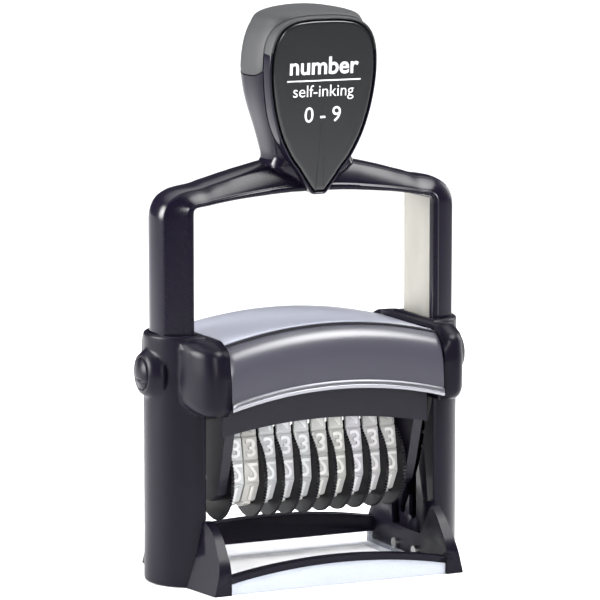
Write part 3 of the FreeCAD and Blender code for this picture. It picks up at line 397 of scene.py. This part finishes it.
def parting(angle):
    """Height of the wavy line between the knob's body and its cap."""
    middle, swing = (PART_SIDE + PART_FRONT) / 2, (PART_FRONT - PART_SIDE) / 2
    return middle - swing * math.cos(2 * angle)


LENS_TIP, LENS_LEAN = Vector((0, -11.0, 103.0)), math.radians(4.83)
LENS_TOP = 45.1
LENS_HALF = [(1.4, 0.0), (3.7, 3.1), (5.8, 6.2), (8.3, 9.5), (11.1, 15.0), (13.0, 21.0), (14.1, 27.0),
             (14.5, 32.6), (14.0, 38.2), (12.2, 42.2), (8.9, 44.3), (4.5, 45.0)]
LENS_CENTRE = Vector((0, 26.0))


def drop_line(grow):
    """Closed pick-shaped line, grown outwards, as (across, up) points."""
    right = [Vector(p) for p in LENS_HALF]
    whole = right + [Vector((0.0, LENS_TOP))] + [Vector((-p.x, p.y)) for p in reversed(right)]
    line = through(whole, 8)
    line += [line[-1].lerp(line[0], k / 4) for k in range(1, 4)]
    count = len(line)
    moved = []
    for i, point in enumerate(line):
        run = line[(i + 1) % count] - line[i - 1]
        run.normalize()
        moved.append(point + Vector((run.y, -run.x)) * grow)
    return moved


def on_plate(point, depth):
    """Point of the lens plane, at a depth behind it."""
    rise = Vector((0, -math.sin(LENS_LEAN), math.cos(LENS_LEAN)))
    inwards = Vector((0, math.cos(LENS_LEAN), math.sin(LENS_LEAN)))
    place = LENS_TIP + Vector((point.x, 0, 0)) + rise * point.y + inwards * depth
    return (place.x, place.y, place.z)


def drop_stack(levels):
    return [[on_plate(p, depth) for p in drop_line(grow)] for grow, depth in levels]


BEZEL_PROFILE = [(1.05, 4.9), (1.05, 0.75), (0.95, 0.35), (0.76, 0.1), (0.6, 0.05), (0.42, 0.15),
                 (0.3, 0.4), (0.25, 0.75), (0.25, 4.9)]
LENS_PROFILE = [(0.0, 2.0), (0.0, 0.7), (-0.08, 0.38), (-0.28, 0.16), (-0.6, 0.06)]
LENS_BULGE, LENS_MIDDLE, LENS_SPAN = 0.22, 22.0, 23.5
LENS_SHARES = (0.97, 0.93, 0.88, 0.82, 0.75, 0.67, 0.58, 0.48, 0.37, 0.25, 0.12)
# Words on the lens: text, height, middle above the tip and stroke growth, in millimetres.
PLATE_WORDS = [("number", 4.7, 33.3, 0.02), ("self-inking", 3.1, 26.2, 0.0), ("0 - 9", 4.1, 20.4, 0.005)]
RULE_PLACE, RULE_HALF, RULE_STEPS = 29.4, (10.6, 0.2), 12
PRINT_RAISE, PRINT_SINK = 0.035, 0.15


def bulge(along):
    return -LENS_BULGE * max(0.0, 1 - ((along - LENS_MIDDLE) / LENS_SPAN) ** 2)


def lens_depth(point, depth):
    return on_plate(point, depth + bulge(point.y))


def make_lens():
    rings = [[lens_depth(p, depth) for p in drop_line(grow)] for grow, depth in LENS_PROFILE]
    inset, depth = LENS_PROFILE[-1]
    for share in LENS_SHARES:
        rings.append([lens_depth(LENS_CENTRE + (p - LENS_CENTRE) * share, depth)
                      for p in drop_line(inset)])
    finished("lens_plate", grid_mesh("lens", rings), LENS, "bow", ["lens"])


def make_print():
    """Generic words and a rule line, raised slightly on the lens."""
    surface_depth = LENS_PROFILE[-1][1]
    points, faces = [], []

    def add(shape, shape_faces):
        start = len(points)
        points.extend(shape)
        faces.extend(tuple(start + i for i in face) for face in shape_faces)

    def laid(x, y, top):
        return lens_depth(Vector((x, y)), surface_depth + (-PRINT_RAISE if top else PRINT_SINK))

    for word, height, place, growth in PLATE_WORDS:
        shape, shape_faces, extent = glyph(word, growth)
        scale = height / glyph("8", growth)[2].y
        add([laid(p.x * scale, place + p.y * scale, p.z > 0) for p in shape], shape_faces)
    half, thick = RULE_HALF
    rings = []
    for k in range(RULE_STEPS + 1):
        x = -half + 2 * half * k / RULE_STEPS
        rings.append([laid(x, RULE_PLACE - thick, False), laid(x, RULE_PLACE - thick, True),
                      laid(x, RULE_PLACE + thick, True), laid(x, RULE_PLACE + thick, False)])
    rule = grid_mesh("rule", rings)
    add([Vector(v.co) / MM for v in rule.vertices], [tuple(f.vertices) for f in rule.polygons])
    mesh = bpy.data.meshes.new("plate_print")
    mesh.from_pydata([Vector(p) * MM for p in points], [], faces)
    finished("plate_print", mesh, PRINT, "bow", sharp=30)


def make_bezel():
    mesh = grid_mesh("bezel", drop_stack(BEZEL_PROFILE), row_closed=True)
    piece = finished("bezel", mesh, [BLACK, CAP], "bow")
    for face in piece.data.polygons:
        face.material_index = 1 if face.center.z > PART_FRONT * MM else 0


def make_knob():
    room = [tidy_normals(grid_mesh("room", drop_stack(PLATE_ROOM)))]
    levels = [(k / 30) ** 0.8 for k in range(31)]
    rings = [knob_ring(lambda a, s=s: KNOB_BASE + (parting(a) - PART_GAP - KNOB_BASE) * s)
             for s in levels]
    edge = knob_ring(lambda a: parting(a) - PART_GAP)
    rings += [shrunk(edge, 0.12, 0.1), shrunk(edge, 0.4, 0.16)]
    body = carved(tidy_normals(grid_mesh("knob_body", rings)), room, "knob_body")
    finished("knob_body", body, BLACK, "bow", ["handle_body"], sharp=30)

    start = knob_ring(parting)
    rings = [shrunk(start, 0.4, -0.02), shrunk(start, 0.1, 0.03)]
    for k in range(1, 27):
        share = math.sin(math.pi / 2 * k / 26.5)
        rings.append(knob_ring(lambda a, s=share: parting(a) + 0.1 + (KNOB_TOP - parting(a) - 0.1) * s))
    cap = carved(tidy_normals(grid_mesh("knob_cap", rings)), room, "knob_cap")
    finished("knob_cap", cap, CAP, "bow", ["handle_cap"], sharp=30)
    make_lens()
    make_print()
    make_bezel()


# ------------------------------------------------------------------ bow

LEG_INNER, LEG_REACH, LEG_DEPTH, LEG_LOW = 34.7, 8.5, 8.8, 40.0
LEG_STOPS = (LEG_LOW, 60.0, 80.0)
# Underside point, outward direction in degrees and wall height, round the corner to the middle.
BOW_STATIONS = [(34.7, 96.5, 0, 8.5), (34.7, 97.9, 4, 8.3), (34.6, 98.9, 20, 7.5), (34.3, 99.4, 45, 6.2),
                (33.8, 99.7, 70, 5.4), (32.7, 99.9, 83, 5.3), (31.0, 100.1, 87, 5.4),
                (28.6, 100.5, 87, 5.75), (26.0, 100.9, 88, 6.05), (23.0, 101.3, 88, 6.5),
                (19.0, 101.7, 88, 7.1), (15.0, 102.05, 89, 7.7), (11.0, 102.35, 89, 8.3),
                (6.0, 102.55, 90, 8.8), (0.0, 102.6, 90, 9.0)]
CHAMBER_START, CHAMBER_REACH, CHAMBER_DEPTH, CHAMBER_TOP = 0.9, 6.1, 7.0, 92.0
REAR_LIP, REAR_ROUNDNESS, ARCH_STEPS = 0.1, 2.1, 60
# Front half of the section from the underside: lip, groove line, flat facet, crease and crown.
BOW_FRONT = [(0.0, 0.0), (0.4, 0.0), (0.80, 0.0), (0.90, 0.006), (0.955, 0.025), (0.988, 0.06), (1.0, 0.11),
             (0.995, 0.16), (0.972, 0.20), (0.955, 0.215), (0.945, 0.235), (0.935, 0.27), (0.90, 0.36),
             (0.84, 0.50), (0.77, 0.64), (0.69, 0.78), (0.655, 0.835), (0.62, 0.87), (0.56, 0.905),
             (0.46, 0.945), (0.32, 0.978), (0.16, 0.995), (0.0, 1.0)]


def bow_rear():
    """Rear half of the section, with as many points as the front half."""
    half = [(0.0, 0.0), (0.4, 0.0), (0.78, 0.0), (0.88, 0.006), (0.95, 0.025), (0.985, 0.055),
            (1.0, REAR_LIP)]
    steps = len(BOW_FRONT) - len(half)
    for step in range(1, steps + 1):
        angle = math.pi / 2 * step / steps
        half.append((math.cos(angle) ** (2 / REAR_ROUNDNESS),
                     REAR_LIP + (1 - REAR_LIP) * math.sin(angle) ** (2 / REAR_ROUNDNESS)))
    return half


def bow_ring(x, z, degrees, reach, depth=LEG_DEPTH, sink=0.0):
    out = Vector((math.cos(math.radians(degrees)), 0, math.sin(math.radians(degrees))))
    whole = [(-b, a) for b, a in BOW_FRONT] + [(b, a) for b, a in bow_rear()[-2:0:-1]]
    return [Vector((x, 0, z)) + out * (sink + a * reach) + Vector((0, b * depth, 0)) for b, a in whole]


def mirrored_ring(ring):
    return [Vector((-p.x, p.y, p.z)) for p in ring]


def make_bow():
    lengths = [0.0]
    for a, b in zip(BOW_STATIONS, BOW_STATIONS[1:]):
        lengths.append(lengths[-1] + max(math.hypot(a[0] - b[0], a[1] - b[1]), abs(a[2] - b[2]) * 0.1))
    knots = [(s, *station) for s, station in zip(lengths, BOW_STATIONS)]
    half = [bow_ring(LEG_INNER, z, 0, CHAMBER_REACH, CHAMBER_DEPTH, CHAMBER_START)
            for z in (CHAMBER_TOP, LEG_LOW)]
    half += [bow_ring(LEG_INNER, z, 0, LEG_REACH) for z in LEG_STOPS]
    arch = [bow_ring(*value_at(knots, lengths[-1] * k / ARCH_STEPS)) for k in range(ARCH_STEPS + 1)]
    rings = half + arch + [mirrored_ring(r) for r in reversed(half + arch[:-1])]
    finished("bow_cover", grid_mesh("bow_cover", rings), BLACK, "bow", ["bow_cover"],
             sharp=26)


# ------------------------------------------------------------------ arched top, window and bead

HOUSING_HALF, ARCH_RISE, SPAN_STEPS, END_EDGE = 30.7, 4.1, 56, 0.25


def arched(name, profile, finish, replaced):
    """Side profile (y, z) carried along the shallow arch of the housing, eased in at both ends."""
    half = HOUSING_HALF
    rings = []
    inner = [-half + END_EDGE + (2 * half - 2 * END_EDGE) * k / SPAN_STEPS for k in range(SPAN_STEPS + 1)]
    stops = [-half] + inner + [half]
    middle = Vector([sum(p[k] for p in profile) / len(profile) for k in range(2)])
    for k, x in enumerate(stops):
        lift = ARCH_RISE * (1 - (x / half) ** 2)
        pull = END_EDGE * 0.5 if k in (0, len(stops) - 1) else 0.0
        ring = []
        for y, z in profile:
            way = middle - Vector((y, z))
            way.normalize()
            ring.append((x, y + way.x * pull, z + lift + way.y * pull))
        rings.append(ring)
    finished(name, grid_mesh(name, rings), finish, "housing", replaced, sharp=30)


# Side profiles as (y, z).
TOP_PROFILE = [(-16.35, 63.4), (-16.45, 64.3), (-16.3, 64.7), (-15.9, 64.88), (-15.2, 64.9), (-8, 64.9),
               (0, 64.9), (8, 64.9), (15.2, 64.85), (16.6, 64.6), (17.6, 64.3), (17.9, 64.1),
               (17.85, 63.6), (17.4, 62.8), (15.4, 63.2), (0, 63.2), (-15.4, 63.2)]
WINDOW_LINE = [(-16.9, 64.7), (-18.6, 64.1), (-20.4, 62.8), (-21.7, 61.0), (-22.6, 58.4), (-23.0, 55.4),
               (-23.3, 50.3)]
WINDOW_TOP, WINDOW_TOP_INSIDE, WINDOW_WALL = (-16.75, 64.55), (-16.75, 63.3), 1.6
RIB_PROFILE = [(-17.5, 64.78), (-17.9, 64.86), (-18.4, 64.6), (-18.5, 64.3), (-18.0, 64.1)]
BEAD_PROFILE = [(-23.35, 50.25), (-23.75, 50.0), (-23.95, 49.6), (-23.95, 49.3), (-23.8, 49.15),
                (-23.95, 49.0), (-23.95, 48.6), (-23.8, 48.2), (-23.4, 48.0), (-21.7, 48.0),
                (-21.7, 50.25)]


def wall_profile(outer, thickness):
    """Closed profile of a wall with the given outer line."""
    inner = []
    for i, p in enumerate(outer):
        run = outer[min(i + 1, len(outer) - 1)] - outer[max(i - 1, 0)]
        run.normalize()
        inner.append(p + Vector((-run.y, run.x)) * thickness)
    return [(p.x, p.y) for p in outer + inner[::-1]]


def make_top():
    wall = wall_profile(through(WINDOW_LINE, 6), WINDOW_WALL)
    window = [WINDOW_TOP] + wall[1:-1] + [WINDOW_TOP_INSIDE]
    arched("top_cover", TOP_PROFILE, SILVER, ["top_cover"])
    arched("front_window", window, SMOKE, ["front_window"])
    arched("window_rib", RIB_PROFILE, TRAY, [])
    arched("front_bead", BEAD_PROFILE, CHROME, ["front_bead"])


# ------------------------------------------------------------------ digit bands

BAND_CELLS = 15
BAND_RADIUS, PRINT_HALF, PRINT_Z, AXLE_Z = 9.15, 3.2, 57.5, 27.3
BAND_WIDTH, BAND_THICKNESS = 4.2, 1.5
BAND_X = [-22.9] + [-18.4 + 5.1 * k for k in range(9)]
CELL_SIGNS = ["7", "6", "5", "4", "3", "2", "1", "0", "", "-", "", "/", "", "9", "8"]
GROOVE, FACE = 1.0, 0.55
# Each cell's block as (inset along the band, inset at the side, height), and the largest sign on it.
CELL_LEVELS = ((0.28, 0.0, -GROOVE - 0.1), (0.3, 0.0, -FACE - 0.15), (0.42, 0.12, -FACE))
SIGN_HEIGHT, SIGN_WIDEST = 4.7, 3.3


def band_corners():
    """Corners of the band in (y, z) about the axle, going from the print face down the front."""
    drop = PRINT_Z - AXLE_Z
    reach = math.hypot(PRINT_HALF, drop)
    tangent = math.sqrt(reach ** 2 - BAND_RADIUS ** 2)
    turned = math.atan2(PRINT_HALF, drop) + math.acos(BAND_RADIUS / reach)
    half_cells = (BAND_CELLS - 1) // 2
    pitch = (tangent + BAND_RADIUS * (math.pi - turned)) / half_cells
    start = Vector((-PRINT_HALF, drop))
    touch = Vector((-BAND_RADIUS * math.sin(turned), BAND_RADIUS * math.cos(turned)))
    front = []
    for step in range(half_cells):
        along = step * pitch
        if along <= tangent:
            front.append(start + (touch - start) * (along / tangent))
        else:
            angle = turned + (along - tangent) / BAND_RADIUS
            front.append(Vector((-BAND_RADIUS * math.sin(angle), BAND_RADIUS * math.cos(angle))))
    return front + [Vector((0, -BAND_RADIUS))] + [Vector((-p.x, p.y)) for p in reversed(front)]


def inset_loop(corners, depth):
    """Polygon moved inwards by a depth, corner by corner."""
    count = len(corners)
    moved = []
    for i, corner in enumerate(corners):
        into = (corner - corners[i - 1]).normalized()
        away = (corners[(i + 1) % count] - corner).normalized()
        first, second = Vector((-into.y, into.x)), Vector((-away.y, away.x))
        bisector = (first + second).normalized()
        moved.append(corner + bisector * (depth / bisector.dot(first)))
    return moved


def glyph(sign, growth=0.012):
    """Flat-topped raised sign, centred, one unit high at most, as (points, faces, extent)."""
    text = bpy.data.curves.new("sign", "FONT")
    text.body = sign
    text.extrude, text.offset, text.resolution_u = 0.5, growth, 4
    item = bpy.data.objects.new("sign", text)
    scene.collection.objects.link(item)
    bpy.context.view_layer.update()
    mesh = bpy.data.meshes.new_from_object(item.evaluated_get(bpy.context.evaluated_depsgraph_get()))
    points = [v.co.copy() for v in mesh.vertices]
    faces = [tuple(f.vertices) for f in mesh.polygons]
    bpy.data.objects.remove(item)
    low = Vector([min(p[k] for p in points) for k in range(3)])
    high = Vector([max(p[k] for p in points) for k in range(3)])
    middle = (low + high) / 2
    return [p - middle for p in points], faces, high - low


def band_mesh(corners, glyphs):
    """Belt, cell blocks and raised signs of one band, and which faces are tops of signs."""
    points, faces, tops = [], [], []

    def add(new_points, new_faces, raised=False):
        start = len(points)
        points.extend(new_points)
        faces.extend(tuple(start + i for i in face) for face in new_faces)
        tops.extend([raised] * len(new_faces))

    outer, inner = inset_loop(corners, GROOVE), inset_loop(corners, BAND_THICKNESS)
    half = BAND_WIDTH / 2
    count = len(corners)
    ring = []
    for o, n in zip(outer, inner):
        ring += [(-half, o.x, o.y), (half, o.x, o.y), (half, n.x, n.y), (-half, n.x, n.y)]
    loop = []
    for i in range(count):
        a, b = 4 * i, 4 * ((i + 1) % count)
        loop += [(a, a + 1, b + 1, b), (a + 1, a + 2, b + 2, b + 1), (a + 2, a + 3, b + 3, b + 2),
                 (a + 3, a, b, b + 3)]
    add(ring, loop)
    for i in range(count):
        # cell 0 is the print face, between the last corner and the first
        start, end = corners[i - 1], corners[i]
        along = (end - start).normalized()
        out = Vector((along.y, -along.x))
        middle = (start + end) / 2
        length = (end - start).length

        def place(u, v, height):
            at = middle + along * -v + out * height
            return (u, at.x, at.y)

        blocks = []
        for inset, side, height in CELL_LEVELS:
            u, v = half - side, length / 2 - inset
            blocks += [place(-u, -v, height), place(u, -v, height), place(u, v, height),
                       place(-u, v, height)]
        shell = [(0, 3, 2, 1), (8, 9, 10, 11)]
        for level in (0, 4):
            shell += [(level + k, level + (k + 1) % 4, level + 4 + (k + 1) % 4, level + 4 + k)
                      for k in range(4)]
        add(blocks, shell)
        sign = CELL_SIGNS[i]
        if sign:
            shape, shape_faces, extent = glyphs[sign]
            high = SIGN_HEIGHT / glyphs["5"][2].y
            wide = min(high * 1.05, SIGN_WIDEST / extent.x)
            raised = FACE + 0.1
            add([place(p.x * wide, -p.y * high, -raised / 2 + raised * p.z) for p in shape], shape_faces,
                True)
    return points, faces, tops


def make_bands():
    corners = band_corners()
    glyphs = {sign: glyph(sign) for sign in sorted(set(CELL_SIGNS)) if sign}
    points, faces, tops = band_mesh(corners, glyphs)
    for k, x in enumerate(BAND_X):
        mesh = bpy.data.meshes.new("band")
        mesh.from_pydata([Vector((x + px, y, AXLE_Z + z)) * MM for px, y, z in points], [], faces)
        # Raised signs take the rubber; belt and cell blocks take the darker copy, which is painted shade.
        mesh.polygons.foreach_set("material_index", [0 if top else 1 for top in tops])
        finished("band_%02d_digits" % (k + 1), mesh, [RUBBER[k], PAINTED_SHADE_RUBBER[k]], "type_unit",
                 ["band_%02d" % (k + 1)], sharp=30)


# ------------------------------------------------------------------ springs and buttons

SPRING_LINE, SPRING_LOW, SPRING_HIGH = 38.65, 13.0, 92.0
COIL_RADIUS, WIRE_RADIUS, COIL_TURNS, STROKE = 2.32, 0.36, 21, 32.5
TURN_STEPS, WIRE_SIDES, END_CROWDING = 28, 10, 0.045


def make_springs():
    steps = COIL_TURNS * TURN_STEPS
    length = SPRING_HIGH - SPRING_LOW - 2 * WIRE_RADIUS
    for side, name in ((-1, "left"), (1, "right")):
        rings = []
        for step in range(steps + 1):
            t = step / steps
            eased = t - END_CROWDING * math.sin(2 * math.pi * t)
            angle = 2 * math.pi * COIL_TURNS * t
            centre = Vector((side * SPRING_LINE + COIL_RADIUS * math.cos(angle),
                             COIL_RADIUS * math.sin(angle), SPRING_LOW + WIRE_RADIUS + length * eased))
            out = Vector((math.cos(angle), math.sin(angle), 0))
            rings.append([centre + (out * math.cos(a) + Vector((0, 0, 1)) * math.sin(a)) * WIRE_RADIUS
                          for a in (2 * math.pi * k / WIRE_SIDES for k in range(WIRE_SIDES))])
        piece = finished("coil_" + name, grid_mesh("coil", rings), WIRE, "housing",
                         ["spring_" + name])
        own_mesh(piece)


BUTTON_Z, BUTTON_RADIUS, BUTTON_APEX, BUTTON_SHOULDER, BUTTON_SIDES = 55.9, 4.1, 47.5, 46.3, 64
# Flange and wall of a button as (radius, x).
BUTTON_RIM = [(4.75, 45.5), (4.75, 45.9), (BUTTON_RADIUS, 45.9), (BUTTON_RADIUS, BUTTON_SHOULDER)]
CREASE_DEPTH, CREASE_WIDTH = 0.28, 0.3


def make_buttons():
    for side, name in ((-1, "left"), (1, "right")):
        levels = list(BUTTON_RIM)
        for k in range(1, 19):
            r = BUTTON_RADIUS * (1 - k / 18.5)
            levels.append((r, BUTTON_APEX - 1.05 * (r / BUTTON_RADIUS) ** 2.4))
        rings = []
        for r, x in levels:
            ring = []
            for step in range(BUTTON_SIDES):
                a = 2 * math.pi * step / BUTTON_SIDES
                y, z = r * math.cos(a), r * math.sin(a)
                crease = 0.0
                if x > BUTTON_SHOULDER:
                    crease = CREASE_DEPTH * math.exp(-((z + 1.35 + 0.03 * y * y) / CREASE_WIDTH) ** 2)
                ring.append((side * (x - crease), y, BUTTON_Z + z))
            rings.append(ring)
        finished("button_%s_cap" % name, grid_mesh("button", rings), SATIN,
                 "button_l" if side < 0 else "button_r", ["button_" + name], sharp=50)


# ------------------------------------------------------------------ mouldings with softened shading

MOULDINGS = [("housing_left", "housing", "black_gloss"), ("housing_right", "housing", "black_gloss"),
             ("base_frame", "housing", "black_gloss"), ("pad_tray", "pad_cartridge", "tray_plastic")]


def make_mouldings():
    """Smooth-shaded copies of the large mouldings, keeping their exact shape."""
    for node, body, slot_name in MOULDINGS:
        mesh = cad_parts[node].data.copy()
        mesh.materials.clear()
        finished(node + "_moulding", mesh, NODE_FINISH[node], body, [node], sharp=35)


make_knob()
make_bow()
make_mouldings()
make_top()
make_bands()
make_springs()
make_buttons()
